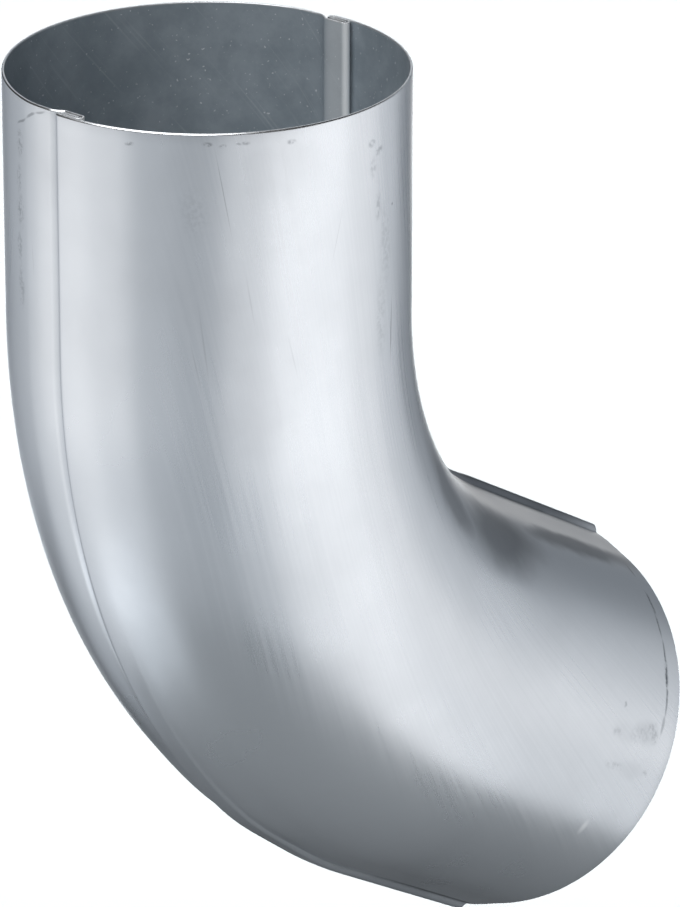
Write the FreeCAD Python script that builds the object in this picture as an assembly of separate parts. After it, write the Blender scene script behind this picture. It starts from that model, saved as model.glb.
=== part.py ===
import FreeCAD, Part
import math
import os

# Downspout elbow of zinc sheet: two pressed half shells, joined along the outer and
# the inner curve of the bend by a grooved lock seam.
# The frame has its origin at the centre of the upper rim, +Z up out of the mouth, the
# bend in the XZ plane and the lower leg going towards +X.

# plain upper end, the one that is pushed into a pipe
spigot_diameter = 100.0
spigot_length = 63.0

# bend on the centre line
bend_radius = 140.0
bend_angle = 60.0

# widened lower end, the one that takes a pipe
socket_clearance = 1.0
socket_length = 58.0

# sheet
sheet = 0.7

# lock seam: width over its two folds, air between two layers, air at the tip of a hook
seam_width = 7.6
layer_air = 0.25
tip_air = 0.6

# walls beside the seam: the near wall rises to it and the far wall sinks to it, first
# by a gentle lean and then by a short step that clears the other shell's fold
shoulder = 0.5
lean_run = 13.4
lean_share = 0.4
step_run = 2.9

# stations along the bend and points along one lean or step
bend_stations = 13
sweep_points = 13

half_sheet = sheet / 2
pitch = sheet + layer_air
layers_below = 3
seam_rise = layers_below * pitch
spigot_mid = spigot_diameter / 2 - half_sheet
socket_mid = spigot_diameter / 2 + socket_clearance + half_sheet
fold_inset = pitch + half_sheet
half_turn = math.pi
near_side = -1
far_side = 1


def ease(x):
    """Smooth rise from 0 to 1, level at both ends."""
    return x * x * (3 - 2 * x)


def ease_slope(x):
    """Slope of the smooth rise."""
    return 6 * x * (1 - x)


def polar(radius, angle):
    """Point of a cross-section; angle 0 is the outer curve, positive the far side."""
    return FreeCAD.Vector(radius * math.cos(angle), radius * math.sin(angle), 0)


def arc(radius, start, end):
    """Arc about the tube's axis."""
    middle = (start + end) / 2
    points = [polar(radius, a) for a in (start, middle, end)]
    return Part.Arc(*points).toShape()


def fold(centre_radius, angle, radius, first, side):
    """Half circle from one layer to the next but one, about a point between them.

    first is +1 where it starts on the outer layer, side is the way it bulges."""
    centre = polar(centre_radius, angle)
    outward = polar(1, angle)
    along = polar(1, angle + half_turn / 2)
    start = centre + outward * (first * radius)
    crown = centre + along * (side * radius)
    end = centre - outward * (first * radius)
    return Part.Arc(start, crown, end).toShape()


def wall_share(d):
    """Part of the seam's rise that the wall still has at the distance d from the seam."""
    step = 1 - ease(min(d / step_run, 1))
    lean = 1 - ease(min(d / lean_run, 1))
    return (1 - lean_share) * step + lean_share * lean


def wall_slope(d):
    """Change of that part with the distance from the seam."""
    step = -ease_slope(min(d / step_run, 1)) / step_run
    lean = -ease_slope(min(d / lean_run, 1)) / lean_run
    return (1 - lean_share) * step + lean_share * lean


def wall_edge(mid, rise, head, way, start, end, offset):
    """Wall between two distances from the seam, whose edge is at the angle head.

    mid is the wall's radius at half thickness, way the sense in which the wall goes on."""
    shares = [i / (sweep_points - 1) for i in range(sweep_points)]
    turn = way * (end - start) / mid
    points = []
    tangents = []
    for x in shares:
        d = start + (end - start) * x
        angle = head + way * d / mid
        outward = polar(1, angle)
        along = polar(1, angle + half_turn / 2)
        radius = mid + rise * wall_share(d)
        climb = rise * wall_slope(d) * way * mid
        normal = (outward - along * (climb / radius)).normalize()
        points.append(outward * radius + normal * offset)
        tangents.append((outward * climb + along * radius) * turn)
    curve = Part.BSplineCurve()
    curve.interpolate(Points=points, Parameters=shares, Scale=False,
                      InitialTangent=tangents[0], FinalTangent=tangents[-1])
    return curve.toShape()


def sheet_side(mid, shift, side, offset):
    """One face of a half shell's sheet, from the tip of its hook at the outer curve to the other.

    mid is the wall's radius at half thickness, shift the part of the seam's rise that
    stands outside the wall. The near shell has the seam's outermost layer and folds
    inwards, the far shell has its innermost layer and folds outwards."""
    base = mid - seam_rise * (1 - shift)
    if side == near_side:
        base = mid + seam_rise * shift
    edge = seam_width / 2 / mid
    crease = edge - fold_inset / mid
    tip = edge - (sheet + tip_air) / mid
    brow = crease + shoulder / mid
    foot = brow + lean_run / mid
    hook = base + 2 * side * pitch - offset
    pivot = base + side * pitch
    bend = pitch - side * offset
    rise = base - mid
    head = side * brow
    tail = side * (half_turn - brow)
    return [
        arc(hook, side * tip, -side * crease),
        fold(pivot, -side * crease, bend, side, -side),
        arc(base + offset, -side * crease, head),
        wall_edge(mid, rise, head, side, 0, step_run, offset),
        wall_edge(mid, rise, head, side, step_run, lean_run, offset),
        arc(mid + offset, side * foot, side * (half_turn - foot)),
        wall_edge(mid, rise, tail, -side, step_run, lean_run, offset),
        wall_edge(mid, rise, tail, -side, 0, step_run, offset),
        arc(base + offset, tail, side * (half_turn + crease)),
        fold(pivot, side * (half_turn + crease), bend, side, side),
        arc(hook, side * (half_turn + crease), side * (half_turn - tip)),
    ]


def ends(edges):
    """First and last point of a run of edges."""
    head = edges[0].valueAt(edges[0].FirstParameter)
    tail = edges[-1].valueAt(edges[-1].LastParameter)
    return head, tail


def shell_section(mid, shift, side):
    """Closed outline of one half shell's sheet across the tube."""
    outside = sheet_side(mid, shift, side, half_sheet)
    inside = sheet_side(mid, shift, side, -half_sheet)
    outside_head, outside_tail = ends(outside)
    inside_head, inside_tail = ends(inside)
    caps = [
        Part.makeLine(outside_tail, inside_tail),
        Part.makeLine(inside_head, outside_head),
    ]
    return Part.Wire(Part.__sortEdges__(outside + caps + inside))


def station(turn):
    """Placement of a cross-section at an angle along the bend."""
    across = FreeCAD.Vector(-math.cos(turn), 0, -math.sin(turn))
    far = FreeCAD.Vector(0, 1, 0)
    axis = across.cross(far)
    reach = bend_radius * (1 - math.cos(turn))
    drop = spigot_length + bend_radius * math.sin(turn)
    frame = FreeCAD.Matrix(
        across.x, far.x, axis.x, reach,
        across.y, far.y, axis.y, 0,
        across.z, far.z, axis.z, -drop,
        0, 0, 0, 1)
    return FreeCAD.Placement(frame)


def half_shell(side):
    """One half shell: plain end, bend with the seam crossing the wall, widened end."""
    end_turn = math.radians(bend_angle)
    wires = []
    for i in range(bend_stations):
        x = i / (bend_stations - 1)
        mid = spigot_mid + (socket_mid - spigot_mid) * ease(x)
        wire = shell_section(mid, x * x, side)
        wire.Placement = station(end_turn * x)
        wires.append(wire)
    bend = Part.makeLoft(wires, True, False)
    upward = FreeCAD.Vector(0, 0, spigot_length)
    outward = FreeCAD.Vector(math.sin(end_turn), 0, -math.cos(end_turn)) * socket_length
    spigot = Part.Face(wires[0]).extrude(upward)
    socket = Part.Face(wires[-1]).extrude(outward)
    return bend.fuse([spigot, socket])


os.makedirs("parts", exist_ok=True)
half_shell(near_side).exportStep("parts/near_half_shell.step")
half_shell(far_side).exportStep("parts/far_half_shell.step")
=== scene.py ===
import bpy
import math
import numpy as np
from mathutils import Matrix


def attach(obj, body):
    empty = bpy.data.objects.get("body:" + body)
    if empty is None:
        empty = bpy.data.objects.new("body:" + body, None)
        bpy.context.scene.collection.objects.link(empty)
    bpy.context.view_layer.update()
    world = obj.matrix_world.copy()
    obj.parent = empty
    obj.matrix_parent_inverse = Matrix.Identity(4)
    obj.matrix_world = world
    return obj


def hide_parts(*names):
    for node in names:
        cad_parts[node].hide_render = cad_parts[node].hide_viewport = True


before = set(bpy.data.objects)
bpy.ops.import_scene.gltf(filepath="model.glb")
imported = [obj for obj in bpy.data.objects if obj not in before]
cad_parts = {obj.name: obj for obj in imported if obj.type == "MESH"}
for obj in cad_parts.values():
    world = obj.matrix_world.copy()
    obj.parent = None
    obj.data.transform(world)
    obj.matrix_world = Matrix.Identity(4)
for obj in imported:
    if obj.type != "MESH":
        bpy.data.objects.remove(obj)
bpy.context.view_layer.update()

# Path of the elbow: a plain straight end, a bend of 60 degrees in the XZ plane and a widened straight end.
# Both half shells are pressed to this one path, from the upper rim at the origin to the lower rim.
mm = 0.001
plain_length, bend_radius, bend_turn, wide_length = 63 * mm, 140 * mm, math.radians(60), 58 * mm
plain_mid, wide_mid = 49.65 * mm, 51.35 * mm
bend_length = bend_radius * bend_turn
path_length = plain_length + bend_length + wide_length


def ease(x):
    """Smooth rise from 0 to 1: three x squared less two x cubed."""
    return x * x * (3 - 2 * x)


def elbow_path(s):
    """Centre, outward direction in the bend's plane and share of the bend at path lengths s.

    Straight down, then round a circle about a point on +X, then straight on along the circle's tangent."""
    turn = np.clip((s - plain_length) / bend_radius, 0, bend_turn)
    above = np.minimum(s, plain_length)
    beyond = np.maximum(s - plain_length - bend_length, 0)
    x = bend_radius * (1 - np.cos(turn)) + beyond * math.sin(bend_turn)
    z = -above - bend_radius * np.sin(turn) - beyond * math.cos(bend_turn)
    centre = np.stack([x, 0 * x, z], -1)
    outward = np.stack([-np.cos(turn), 0 * turn, -np.sin(turn)], -1)
    return centre, outward, turn / bend_turn


# Half shells: zinc sheet 0.7 mm thick, each pressed to half of the tube and hooked into the other by a lock
# seam of four layers. At the plain end the seam lies inside the tube, at the widened end it stands outside.
sheet = 0.7 * mm
roll_length, roll_depth, burr_length, burr_depth = 0.45 * mm, 0.23 * mm, 0.15 * mm, 0.08 * mm
layer_air, tip_air = 0.25 * mm, 0.6 * mm
seam_width, shoulder = 7.6 * mm, 0.5 * mm
lean_run, lean_share = 13.4 * mm, 0.4
# start and end of the step beside the seam, and whether it runs out softly
near_step, far_step = (0.45 * mm, 2.45 * mm, False), (0.3 * mm, 4.2 * mm, True)
# height, place around, width, place along and length of a swell of the far wall and a dip of the rib beside it
swells = np.array([(0.95, 11.5, 10, 183, 15), (-0.70, -1, 8, 193, 10)]) * mm
rise_power = 2.4
pitch = sheet + layer_air
seam_rise = 3 * pitch
fold_inset = pitch + sheet / 2
first_lean, last_lean = math.radians(8.5), math.radians(-23)


def round_wall(radius, start, end, count, sign):
    """Arc about the tube's axis from angle start to end, with its normal outwards or inwards by sign."""
    angle = start + (end - start) * np.linspace(0, 1, count)
    radial = np.stack([np.cos(angle), np.sin(angle)], -1)
    return radius[..., None] * radial, sign * radial


def hook_fold(centre_radius, angle, first, bulge, count, sign):
    """Half circle between two layers about a point midway, from the outer or inner layer by first."""
    turn = np.linspace(0, np.pi, count)
    radial = np.stack([np.cos(angle), np.sin(angle)], -1)
    along = np.stack([-np.sin(angle), np.cos(angle)], -1)
    arm = radial * (first * np.cos(turn))[:, None] + along * (bulge * np.sin(turn))[:, None]
    return centre_radius[..., None] * radial + pitch * arm, sign * arm


def seam_wall(mid, rise, head, way, step_start, step_end, soft, lean_part):
    """Wall beside the seam: a short step and a gentle lean, both smooth, that take the seam's rise between them.

    The wall's radius is mid plus rise times what is left of the step and of the lean at each distance from head. What
    is left is one less the smooth rise, or the square of one less the distance's share where the step is soft."""
    d = np.concatenate([np.linspace(0, step_end, 21), np.linspace(step_end, lean_run, 19)[1:]])
    step, lean = np.clip((d - step_start) / (step_end - step_start), 0, 1), d / lean_run
    if soft:
        left_step, step_slope = (1 - step) ** 2, 2 * (1 - step) * (d > step_start)
    else:
        left_step, step_slope = 1 - ease(step), 6 * step * (1 - step)
    left = (1 - lean_part) * left_step + lean_part * (1 - ease(lean))
    slope = -(1 - lean_part) * step_slope / (step_end - step_start) - lean_part * 6 * lean * (1 - lean) / lean_run
    angle = head + way * d / mid
    radius = mid + rise * left
    radial = np.stack([np.cos(angle), np.sin(angle)], -1)
    along = np.stack([-np.sin(angle), np.cos(angle)], -1)
    normal = radial - along * (rise * slope * way * mid / radius)[..., None]
    return radius[..., None] * radial, normal / np.linalg.norm(normal, axis=-1, keepdims=True)


def sheet_line(mid, shift, side):
    """Middle of a half shell's sheet across the tube, from one hook's tip to the other, and its normals.

    Rows are stations along the path. mid is the wall's radius there and shift the share of the seam's rise that
    stands outside the wall. Angle 0 is the outer curve of the bend, positive on the far side; side is -1 for the
    near shell, which has the seam's outermost layer, and +1 for the far shell, which has its innermost."""
    base = mid + seam_rise * shift if side < 0 else mid - seam_rise * (1 - shift)
    step, lean_part = (near_step, 1 - (1 - lean_share) * shift) if side < 0 else (far_step, lean_share)
    edge, half = seam_width / 2 / mid, np.pi
    crease, tip = edge - fold_inset / mid, edge - (sheet + tip_air) / mid
    brow = crease + shoulder / mid
    foot = brow + lean_run / mid
    hook, pivot = base + 2 * side * pitch, base + side * pitch
    runs = [
        round_wall(hook, side * tip, -side * crease, 8, -1),
        hook_fold(pivot, -side * crease, side, -side, 15, -side),
        round_wall(base, -side * crease, side * brow, 12, 1),
        seam_wall(mid, base - mid, side * brow, side, *step, lean_part),
        round_wall(mid, side * foot, side * (half - foot), 101, 1),
        tuple(part[:, ::-1] for part in seam_wall(mid, base - mid, side * (half - brow), -side, *step, lean_part)),
        round_wall(base, side * (half - brow), side * (half + crease), 12, 1),
        hook_fold(pivot, side * (half + crease), -side, side, 15, -side),
        round_wall(hook, side * (half + crease), side * (half - tip), 8, -1),
    ]
    line = np.concatenate([runs[0][0]] + [points[:, 1:] for points, _ in runs[1:]], 1)
    normal = np.concatenate([runs[0][1] + 0 * runs[0][0]] + [(n + 0 * p)[:, 1:] for p, n in runs[1:]], 1)
    return line, normal


def half_shell(name, side):
    """Closed sheet surface of one half shell: its cross-section carried along the elbow's path.

    The loop around the section goes along the outer face from tip to tip and back along the inner face. The rims
    are sheared, so the outer face rolls over by a parabola there. Low on the outer curve the sheet has a swell and a
    dip, each a bell curve around times a bell curve along. The map "grain" numbers the sheet's rolling lines, which
    lean to the inner curve at the plain end and to the outer curve at the widened end."""
    round_off = roll_length * np.linspace(0, 1, 7)
    s = np.concatenate([
        round_off,
        np.linspace(0, plain_length, 21)[1:-1],
        plain_length + np.linspace(0, bend_length, 107),
        plain_length + bend_length + np.linspace(0, wide_length, 21)[1:-1],
        path_length - round_off[::-1],
    ])
    centre, outward, share = elbow_path(s)
    mid = (plain_mid + (wide_mid - plain_mid) * ease(share))[:, None]
    line, normal = sheet_line(mid, (share ** rise_power)[:, None], side)
    from_rim = np.minimum(s, path_length - s)[:, None, None]
    outside = sheet / 2 - roll_depth * np.maximum(1 - from_rim / roll_length, 0) ** 2
    inside = sheet / 2 - burr_depth * np.maximum(1 - from_rim / burr_length, 0) ** 2
    loop = np.concatenate([line + normal * outside, (line - normal * inside)[:, ::-1]], 1)
    reach = np.hypot(loop[..., 0], loop[..., 1])
    aside = np.arctan2(loop[..., 1], loop[..., 0]) * reach
    for height, across_at, width, along_at, length in swells:
        swollen = height * np.exp(-((aside - across_at) / width) ** 2 - ((s[:, None] - along_at) / length) ** 2)
        loop = loop * (1 + swollen / reach)[..., None]
    across = np.array([0.0, 1.0, 0.0])
    points = centre[:, None] + loop[..., :1] * outward[:, None] + loop[..., 1:] * across
    stations, around = points.shape[:2]
    half = around // 2
    grid = np.arange(stations * around).reshape(stations, around)
    nxt = np.roll(grid, -1, 1)
    walls = np.stack([grid[:-1], grid[1:], nxt[1:], nxt[:-1]], -1).reshape(-1, 4)
    outer, inner = grid[:, :half], grid[:, :half - 1:-1]
    top_rim = np.stack([outer[0, :-1], outer[0, 1:], inner[0, 1:], inner[0, :-1]], -1)
    low_rim = np.stack([outer[-1, :-1], inner[-1, :-1], inner[-1, 1:], outer[-1, 1:]], -1)
    faces = np.concatenate([walls, top_rim, low_rim])
    flat = points.reshape(-1, 3)
    a, b, c = flat[faces[:, 0]], flat[faces[:, 1]], flat[faces[:, 2]]
    if (np.cross(a, b) * c).sum() < 0:
        faces = faces[:, ::-1]
    mesh = bpy.data.meshes.new(name)
    mesh.from_pydata(flat, [], faces)
    angle = np.arctan2(side * line[..., 1], line[..., 0])
    angle = side * np.where(angle < -np.pi / 2, angle + 2 * np.pi, angle)
    u = np.concatenate([angle, angle[:, ::-1]], 1) * plain_mid
    v = np.broadcast_to(s[:, None], (stations, around))
    uv = np.stack([u, v], -1).reshape(-1, 2)
    layer = mesh.uv_layers.new(name="sheet")
    corner = np.empty(len(mesh.loops), np.int32)
    mesh.loops.foreach_get("vertex_index", corner)
    layer.data.foreach_set("uv", uv[corner].astype(np.float32).ravel())
    turn = share * bend_turn
    before, after = np.minimum(s - plain_length, 0), np.maximum(s - plain_length - bend_length, 0)
    drift = math.tan(first_lean) * before + math.tan(last_lean) * after
    follow = (first_lean - last_lean) / bend_turn
    swing = bend_radius / follow * np.log(np.cos(first_lean - follow * turn) / math.cos(first_lean))
    lines = bend_radius * np.log1p((loop[..., 0] + drift[:, None]) / bend_radius) + swing[:, None]
    grain = mesh.uv_layers.new(name="grain")
    grain.data.foreach_set("uv", np.stack([lines, v], -1).reshape(-1, 2)[corner].astype(np.float32).ravel())
    face = np.broadcast_to(np.arange(around) >= half, (stations, around))
    mesh.attributes.new("inner_face", "FLOAT", "POINT").data.foreach_set("value", face.astype(np.float32).ravel())
    # painted highlight on the inner face where the seam's shiny fold shows, most at the hook's fold and less beside
    # it, in points from its tip
    fold_at, fold_width, beside_at, beside_width, beside_share = 15, 5.5, 24, 9, 0.3
    from_tip = np.minimum(np.arange(half), half - 1 - np.arange(half))
    at_fold = np.exp(-((from_tip - fold_at) / fold_width) ** 2)
    beside = beside_share * np.exp(-((from_tip - beside_at) / beside_width) ** 4)
    fold = np.maximum(at_fold, beside)
    bright = face * np.concatenate([fold, fold[::-1]])
    mesh.attributes.new("painted_fold_highlight", "FLOAT", "POINT").data.foreach_set("value", bright.astype(np.float32).ravel())
    mesh.shade_smooth()
    mesh.set_sharp_from_angle(angle=math.radians(40))
    piece = bpy.data.objects.new(name, mesh)
    bpy.context.scene.collection.objects.link(piece)
    return piece


def rolled_zinc(name, stains, films_and_painted_shade, scratches_and_shade_lines):
    """Bare rolled zinc: satin metal, fine rolling lines, clouding, handling stains and scored lines; dull inside.

    Stains are (around, along, half width, half length, turn in degrees, depth), and patches left by drying and scored
    lines the same, in millimetres around the tube from the outer curve and along its path from the upper rim. Some of
    these patches and lines are painted shade, and a painted highlight lies on the seam's fold inside."""
    material = bpy.data.materials.new(name)
    material.use_nodes = True
    tree = material.node_tree
    shader = tree.nodes["Principled BSDF"]

    def node(kind, inputs=(), **values):
        """Shader node with its settings, and each input linked or set."""
        made = tree.nodes.new(kind)
        for key, value in values.items():
            setattr(made, key, value)
        for key, value in dict(inputs).items():
            if isinstance(value, bpy.types.NodeSocket):
                tree.links.new(value, made.inputs[key])
            else:
                made.inputs[key].default_value = value
        return made

    def math_node(operation, a, b=0.0):
        """One sum on two values."""
        return node("ShaderNodeMath", {0: a, 1: b}, operation=operation).outputs[0]

    def spread(value, low, high, to_low, to_high):
        """Value carried smoothly from one range to another, and held at both ends."""
        ends = {"From Min": low, "From Max": high, "To Min": to_low, "To Max": to_high}
        ramp = node("ShaderNodeMapRange", {"Value": value, **ends}, interpolation_type="SMOOTHSTEP")
        return ramp.outputs["Result"]

    def noise(vector, scale, detail, roughness=0.5):
        """Soft noise about one half."""
        values = {"Vector": vector, "Scale": scale, "Detail": detail, "Roughness": roughness}
        return node("ShaderNodeTexNoise", values).outputs["Fac"]

    def tint(factor, first, second):
        """Second colour laid over the first by the factor."""
        return node("ShaderNodeMix", {0: factor, 6: first, 7: second}, data_type="RGBA").outputs[2]

    here = node("ShaderNodeTexCoord").outputs["Object"]
    sheet_map = node("ShaderNodeUVMap", uv_map="sheet").outputs["UV"]
    split = node("ShaderNodeSeparateXYZ", {0: sheet_map})
    around_tube, along_path = split.outputs["X"], split.outputs["Y"]
    inside = node("ShaderNodeAttribute", attribute_name="inner_face").outputs["Fac"]

    # rolling lines along the sheet, which fade out towards the two curves of the bend
    grain_map = node("ShaderNodeUVMap", uv_map="grain").outputs["UV"]
    drawn = node("ShaderNodeMapping", {"Vector": grain_map, "Scale": (1.0, 0.005, 0.0)}).outputs["Vector"]
    fine = noise(drawn, 1400, 2, 0.6)
    broad = noise(drawn, 300, 2, 0.5)
    both = math_node("ADD", math_node("MULTIPLY", fine, 0.7), math_node("MULTIPLY", broad, 0.3))
    lines = math_node("SUBTRACT", both, 0.5)
    aside = math_node("ABSOLUTE", math_node("SINE", math_node("DIVIDE", around_tube, plain_mid)))
    on_leg = spread(along_path, 100 * mm, 180 * mm, 0.0, 0.33)
    lines = math_node("MULTIPLY", lines, spread(math_node("SUBTRACT", aside, on_leg), 0.38, 0.68, 0.0, 1.0))

    # clouding of the surface, and marks: handling stains in flecks, patches left by drying and scored lines, some of
    # the patches and lines being painted shade
    cloud = noise(here, 28, 4, 0.55)
    grain = noise(here, 420, 3, 0.6)
    fleck = noise(here, 800, 4, 0.65)

    def uneven(scale, reach):
        """Map of the sheet moved about by noise times reach, so that a mark on it has an uneven edge."""
        wander = node("ShaderNodeTexNoise", {"Vector": here, "Scale": scale, "Detail": 3}).outputs["Color"]
        swing = node("ShaderNodeVectorMath", {0: wander, 1: (0.5, 0.5, 0.5)}, operation="SUBTRACT").outputs["Vector"]
        moved = node("ShaderNodeVectorMath", {0: swing, 1: reach, 2: sheet_map}, operation="MULTIPLY_ADD")
        return moved.outputs["Vector"]

    def mark(around, along, half_width, half_length, turn, depth, vector, soft):
        """Ellipse on the sheet: its depth up to the share soft of its radius, then falling smoothly to nothing."""
        placing = {
            "Vector": vector, "Location": (around * mm, along * mm, 0),
            "Rotation": (0, 0, math.radians(turn)), "Scale": (half_width * mm, half_length * mm, 1),
        }
        local = node("ShaderNodeMapping", placing, vector_type="TEXTURE").outputs["Vector"]
        reach = node("ShaderNodeVectorMath", {0: local}, operation="LENGTH").outputs["Value"]
        return spread(reach, soft, 1.0, depth, 0.0)

    ragged_edge_map, wavy_edge_map = uneven(110, (2.4 * mm, 2.4 * mm, 0.0)), uneven(70, (6 * mm, 12 * mm, 0.0))
    wavy_edge_width = 4.8
    dirt_and_painted_shade = math_node("MULTIPLY", spread(cloud, 0.25, 0.95, 0.0, 0.09), spread(grain, 0.2, 0.8, 0.7, 1.0))
    for stain in stains:
        one = math_node("MULTIPLY", mark(*stain, ragged_edge_map, 0.2), spread(fleck, 0.42, 0.60, 0.05, 1.0))
        dirt_and_painted_shade = math_node("ADD", dirt_and_painted_shade, one)
    dried_and_painted_shade = 0.0
    # patches left by drying, with patches of painted shade among them
    for dark_patch in films_and_painted_shade:
        dried_and_painted_shade = math_node("MAXIMUM", dried_and_painted_shade, mark(*dark_patch, wavy_edge_map if dark_patch[2] > wavy_edge_width else ragged_edge_map, 0.3))
    dirt_and_painted_shade = math_node("ADD", dirt_and_painted_shade, dried_and_painted_shade)
    cut_and_shade_lines = 0.0
    # scored lines, with lines of painted shade among them
    for line_mark in scratches_and_shade_lines:
        cut_and_shade_lines = math_node("ADD", cut_and_shade_lines, mark(*line_mark, sheet_map, 0.1))
    scuff = math_node("MULTIPLY", math_node("MINIMUM", cut_and_shade_lines, 0.0), -1.0)

    # colour: cool grey, lighter and darker with the lines, brown-grey in the stains and drying patches, darkest in
    # the scored lines, with painted shade in some of these patches and lines; worn bare and bright at the two rims,
    # with painted glints in patches
    colour = tint(spread(lines, -0.2, 0.2, 0.0, 1.0), (0.600, 0.625, 0.658, 1), (0.662, 0.685, 0.718, 1))
    colour = tint(spread(cloud, 0.3, 0.7, 0.0, 0.35), colour, (0.615, 0.635, 0.665, 1))
    colour = tint(dirt_and_painted_shade, colour, (0.17, 0.185, 0.205, 1))
    colour = tint(math_node("MAXIMUM", cut_and_shade_lines, 0.0), colour, (0.12, 0.125, 0.135, 1))
    colour = tint(scuff, colour, (0.90, 0.91, 0.93, 1))
    # the rims are bare metal and brighter, and glints are painted on them in patches by the grain noise
    worn_and_glint_rim = 0.5 * mm
    upper_rim = spread(along_path, 0.0, worn_and_glint_rim, 1.0, 0.0)
    lower_rim = spread(along_path, path_length - worn_and_glint_rim, path_length, 0.0, 1.0)
    rim = math_node("MAXIMUM", upper_rim, lower_rim)
    colour = tint(math_node("MULTIPLY", rim, spread(grain, 0.35, 0.5, 0.35, 0.9)), colour, (0.90, 0.92, 0.94, 1))

    # inner face: dull and dark, in patches, with slanting score lines and specks; the seam's fold, bare shiny metal,
    # is painted near white and not metallic as a painted highlight
    patches = noise(here, 75, 5, 0.62)
    dull = tint(spread(patches, 0.35, 0.65, 0.0, 1.0), (0.25, 0.298, 0.338, 1), (0.32, 0.37, 0.415, 1))
    slant = {"Vector": sheet_map, "Rotation": (0, 0, math.radians(-40)), "Scale": (1, 40, 1)}
    scored = noise(node("ShaderNodeMapping", slant, vector_type="TEXTURE").outputs["Vector"], 900, 2)
    dull = tint(spread(scored, 0.60, 0.74, 0.0, 0.25), dull, (0.52, 0.57, 0.61, 1))
    dull = tint(spread(noise(here, 1100, 1), 0.70, 0.78, 0.0, 0.6), dull, (0.80, 0.83, 0.86, 1))
    # painted highlight on the seam's fold, from the shell's attribute
    painted_fold_highlight = node("ShaderNodeAttribute", attribute_name="painted_fold_highlight").outputs["Fac"]
    dull = tint(painted_fold_highlight, dull, (0.92, 0.95, 0.97, 1))
    worn = math_node("MULTIPLY", inside, math_node("SUBTRACT", 1.0, rim))
    colour = tint(worn, colour, dull)
    tree.links.new(colour, shader.inputs["Base Color"])
    metal = math_node("MULTIPLY", spread(worn, 0.0, 1.0, 1.0, 0.30), math_node("SUBTRACT", 1.0, painted_fold_highlight))
    tree.links.new(metal, shader.inputs["Metallic"])

    # gloss: satin, duller in the stains, drying patches, painted shade patches and inside, and the lines, scored
    # lines and painted shade lines as a slight relief
    gloss = math_node("ADD", spread(lines, -0.2, 0.2, 0.25, 0.33), math_node("MULTIPLY", dirt_and_painted_shade, 0.25))
    gloss = math_node("ADD", gloss, spread(cloud, 0.3, 0.7, -0.02, 0.03))
    gloss = math_node("MAXIMUM", gloss, math_node("MULTIPLY", inside, 0.48))
    tree.links.new(gloss, shader.inputs["Roughness"])

    line_mark_height = math_node("MULTIPLY", math_node("ABSOLUTE", cut_and_shade_lines), -0.6)
    height = math_node("ADD", math_node("MULTIPLY", lines, 0.5), line_mark_height)
    relief = node("ShaderNodeBump", {"Strength": 0.3, "Distance": 0.03 * mm, "Height": height})
    tree.links.new(relief.outputs["Normal"], shader.inputs["Normal"])
    shader.inputs["Specular Tint"].default_value = (0.74, 0.75, 0.77, 1)
    return material


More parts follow.
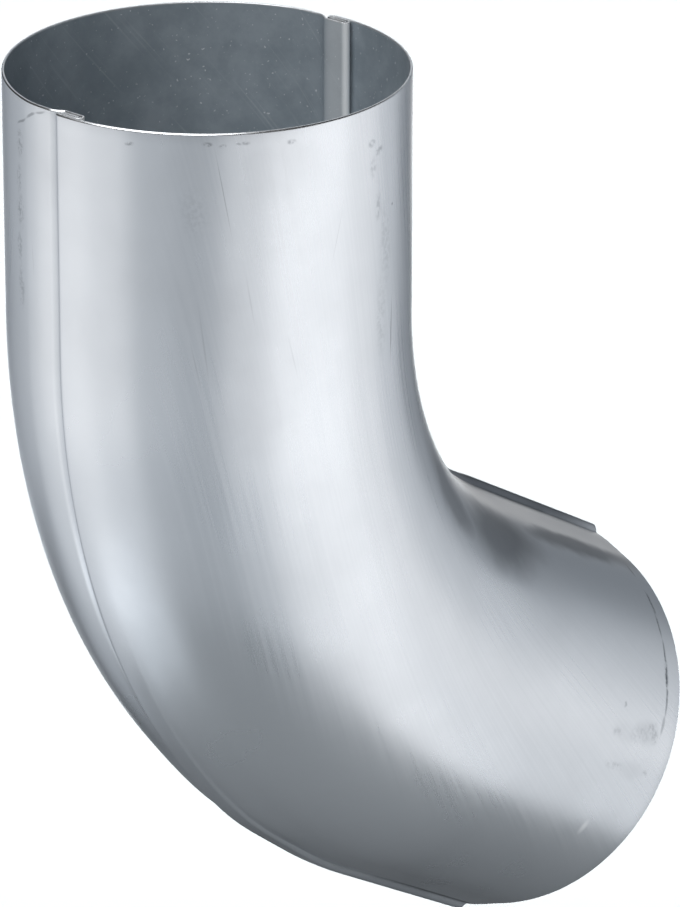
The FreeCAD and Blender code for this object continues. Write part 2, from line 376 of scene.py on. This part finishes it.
near_shell = half_shell("near_shell", -1)
near_shell.data.materials.append(rolled_zinc("near_zinc", stains=[
    (-119.0, 261.4, 8.0, 1.0, -4, 0.45), (-100.0, 261.3, 9.0, 1.2, 2, 0.55), (-90.0, 242.4, 1.3, 1.3, 0, 0.40),
    (-83.5, 251.5, 3.6, 6.0, 0, 0.16), (-84.0, 258.5, 2.8, 2.2, 0, 0.32), (-86.0, 256.5, 2.2, 3.0, 10, 0.24),
    (-82.4, 241.0, 1.8, 3.0, 0, 0.20), (-74.0, 244.5, 1.5, 5.5, 0, 0.22), (-74.4, 258.5, 1.3, 2.4, 0, 0.28),
    (-82.0, 9.5, 1.8, 1.5, 0, 0.45), (-85.0, 12.0, 2.2, 1.3, 20, 0.45), (-82.5, 15.5, 1.8, 3.5, 0, 0.25),
    (-84.5, 26.0, 1.8, 5.0, 0, 0.30), (-88.0, 36.0, 3.5, 14.0, 2, 0.16), (-86.0, 55.0, 3.0, 16.0, -2, 0.16),
    (-37.0, 2.6, 1.6, 0.8, 0, 0.60), (-40.5, 3.0, 1.4, 0.7, 0, 0.45), (-45.5, 2.6, 2.6, 0.6, 0, 0.45),
    (-18.0, 3.5, 1.6, 0.7, 0, 0.55), (-57.0, 3.1, 1.8, 0.8, 0, 0.40), (-34.0, 20.0, 5.0, 9.0, 8, 0.10),
], films_and_painted_shade=[
    # the first patch here is a painted dark reflection beside the throat's edge
    (-112.0, 136.0, 8.0, 36.0, 4, 0.70), (-122.0, 182.0, 15.0, 42.0, 13, 0.78), (-134.0, 238.0, 5.5, 42.0, 4, 0.66),
    # the first two here are painted shade on the tops of the ribs at the inner and outer curve
    (-152.6, 226.0, 4.8, 60.0, 0, 0.95), (-3.0, 236.0, 4.8, 60.0, 0, 0.70), (-133.0, 261.3, 4.2, 0.7, 0, 0.50),
    (-121.0, 261.5, 4.5, 0.6, 4, 0.55), (-114.0, 261.0, 4.6, 0.6, 0, 0.55), (-107.0, 261.0, 4.6, 0.6, 0, 0.60),
    (-100.0, 261.3, 4.6, 0.7, 0, 0.60), (-93.0, 261.4, 4.6, 0.7, 0, 0.55), (-87.5, 261.2, 3.6, 0.8, 0, 0.40),
    (-84.5, 254.5, 4.6, 8.0, 0, 0.14), (-83.0, 245.0, 4.2, 8.0, 0, 0.07), (-74.2, 252.0, 3.4, 9.0, 0, 0.07),
], scratches_and_shade_lines=[
    (-40.7, 15.5, 0.16, 14.5, 10, 0.4), (-70.0, 30.0, 0.12, 9.0, -14, 0.28), (-56.2, 247.6, 3.2, 1.6, 8, -0.8),
    # the third here is a painted shadow at the foot of the outer rib
    (-91.3, 27.5, 0.5, 0.55, 0, 0.65), (-90.9, 60.0, 0.35, 11.0, -2, 0.6), (-6.8, 250.0, 1.7, 40.0, 0, 1.0),
    # the first here is painted shade in the seam's groove, beside the fold
    (3.3, 140.0, 0.6, 65.0, 0, 0.85), (-35.8, 54.0, 0.35, 13.0, 7, 0.16), (-46.9, 42.5, 0.3, 8.5, 9, 0.14),
    (-57.5, 58.0, 0.3, 8.6, 13, 0.12), (-33.8, 59.0, 0.3, 8.0, 12, 0.14),
]))
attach(near_shell, "root")
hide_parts("near_half_shell")

far_shell = half_shell("far_shell", 1)
far_shell.data.materials.append(rolled_zinc("far_zinc", stains=[
    (19.0, 12.0, 2.4, 5.0, 0, 0.42), (19.6, 21.0, 2.2, 4.5, 0, 0.38), (19.3, 29.0, 2.5, 6.0, 0, 0.42),
    (19.9, 39.0, 2.2, 5.5, 0, 0.36), (19.6, 49.0, 2.4, 7.0, 0, 0.36),
], films_and_painted_shade=[
    # these three patches make a painted shade arc just below the upper rim
    (18.1, 6.0, 3.4, 0.5, 33, 0.50), (13.6, 3.3, 3.0, 0.5, 29, 0.45), (9.9, 1.6, 2.4, 0.4, 18, 0.35),
], scratches_and_shade_lines=[
    # the second here is painted shade in the seam's groove, beside the fold
    (13.5, 40.0, 0.12, 6.0, 4, 0.25), (5.2, 148.0, 0.8, 52.0, 0, 0.8),
]))
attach(far_shell, "root")
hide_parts("far_half_shell")

# Camera: a long lens from the upper left front, at the height from which the mouth shows as a flat ellipse.
# It stands behind its target by the distance, and its roll is the small turn about its own line of sight.
azimuth, elevation, roll = math.radians(-48.5), math.radians(22.2008), math.radians(0.0743)
front = np.array([math.sin(azimuth), -math.cos(azimuth), 0])
right = np.array([math.cos(azimuth), math.sin(azimuth), 0])
back = math.cos(elevation) * front + np.array([0, 0, math.sin(elevation)])
up = np.cross(back, right)
tilted = math.cos(roll) * right + math.sin(roll) * up
upright = math.cos(roll) * up - math.sin(roll) * right
target, distance = np.array([-12.863, -54.593, -83.0]) * mm, 1.60718
stand = target + back * distance
camera = bpy.data.objects.new("camera", bpy.data.cameras.new("camera"))
camera.data.lens = 264.361
camera.data.sensor_width = 36
camera.matrix_world = Matrix(np.column_stack([np.vstack([tilted, upright, back]).T, stand]).tolist() + [[0, 0, 0, 1]])
bpy.context.scene.collection.objects.link(camera)
bpy.context.scene.camera = camera

# Floor: plain pale studio floor, well below the elbow, which hangs by its plain end as it does on a wall.
# It is painted board, matt, and wide enough to fill every view.
floor_z, floor_half = -1.2, 30
floor_corners = np.array([(-1, -1, 0), (1, -1, 0), (1, 1, 0), (-1, 1, 0)]) * floor_half + [0, 0, floor_z]
floor_mesh = bpy.data.meshes.new("floor")
floor_mesh.from_pydata(floor_corners, [], [(0, 1, 2, 3)])
floor = bpy.data.objects.new("floor", floor_mesh)
bpy.context.scene.collection.objects.link(floor)
board = bpy.data.materials.new("floor_board")
board.use_nodes = True
paint = board.node_tree.nodes["Principled BSDF"].inputs
paint["Base Color"].default_value = (0.405, 0.425, 0.435, 1)
paint["Roughness"].default_value = 0.9
paint["Specular IOR Level"].default_value = 0.2
floor_mesh.materials.append(board)

# Studio light: a ring of soft panels around the elbow in two rows, brightest at both sides, with a third row above
# at the right and two small warm panels at the rear. Three soft boxes hang high and low, and a narrow beam from
# behind lights the floor in the picture's background, which makes it white, and hardly touches the elbow.
middle = np.array([0.03, 0.0, -0.13])
ring, panel_width = 0.85, 0.377


def soft_box(name, bearing, slope, away_by, drop, size, radiance):
    """Rectangular soft box turned to the elbow; bearing counts from the camera to the right, slope from level up."""
    turn, climb = math.radians(bearing), math.radians(slope)
    level = math.cos(turn) * front + math.sin(turn) * right
    away = math.cos(climb) * level + np.array([0, 0, math.sin(climb)])
    aside = np.cross([0, 0, 1], level)
    axes = np.vstack([aside, np.cross(away, aside), away]).T
    return hang(name, axes, middle + away * away_by - [0, 0, drop], size, radiance)


def hang(name, axes, place, size, radiance, beam=180):
    """Rectangular lamp with its own axes as columns.

    It shines along its negative third axis, in a beam in degrees, and is slightly blue where it is weak."""
    lamp = bpy.data.lights.new(name, "AREA")
    lamp.shape = "RECTANGLE"
    lamp.size, lamp.size_y = size
    lamp.energy = radiance * math.pi * size[0] * size[1]
    lamp.spread = math.radians(beam)
    white_from = 1.2
    shade = max(1 - radiance / white_from, 0)
    lamp.color = (1 - 0.2 * shade, 1 - 0.1 * shade, 1)
    lamp_object = bpy.data.objects.new(name, lamp)
    lamp_object.matrix_world = Matrix(np.column_stack([axes, place]).tolist() + [[0, 0, 0, 1]])
    lamp_object.visible_camera = False
    bpy.context.scene.collection.objects.link(lamp_object)
    return lamp_object


for bearing, radiance, low in (
    (-155, 0.42, 0.06), (-130, 0.68, 0.44), (-105, 0.90, 0.81), (-80, 1.25, 1.05),
    (-55, 1.09, 0.80), (-30, 0.72, 0.51), (-5, 0.62, 0.48), (20, 1.05, 0.72),
    (45, 1.46, 1.09), (70, 1.43, 1.25), (95, 1.14, 1.00), (120, 0.84, 0.33),
    (145, 0.36, 0.03),
):
    soft_box(f"panel_{bearing}", bearing, 0, ring, 0.225, (panel_width, 0.45), radiance)
    soft_box(f"low_panel_{bearing}", bearing, 0, ring, 0.76, (panel_width, 0.62), low)
for bearing, radiance in ((70, 1.16), (95, 0.91), (120, 0.53), (145, 0.32)):
    soft_box(f"high_panel_{bearing}", bearing, 0, ring, -0.19, (panel_width, 0.38), radiance)
soft_box("rear_panel", 168, 0, ring, -0.025, (0.30, 0.51), 0.72).data.color = (1, 0.98, 0.95)
soft_box("low_rear_panel", 174, 0, ring, 0.26, (0.20, 0.22), 0.9).data.color = (1, 0.98, 0.93)
soft_box("high_box", -30, 50, 1.2, 0, (1.3, 0.9), 3.7)
soft_box("rear_box", 180, 30, 1.4, 0, (0.9, 0.5), 0.8)
soft_box("low_box", -76, -56, 1.2, 0, (0.6, 0.5), 0.55)
beam_axes = np.vstack([right, -front, np.cross(right, -front)]).T
beam_place = middle * [1, 1, 0] - front * 3.0 + [0, 0, -0.3]
hang("background_box", beam_axes, beam_place, (1.5, 2.6), 2.45, 50)
room = bpy.data.worlds.new("room")
bpy.context.scene.world = room
room.use_nodes = True
glow = room.node_tree.nodes["Background"].inputs
glow["Color"].default_value = (1, 1, 1, 1)
glow["Strength"].default_value = 0.02

# Picture: plain colours.
bpy.context.scene.view_settings.view_transform = "Standard"
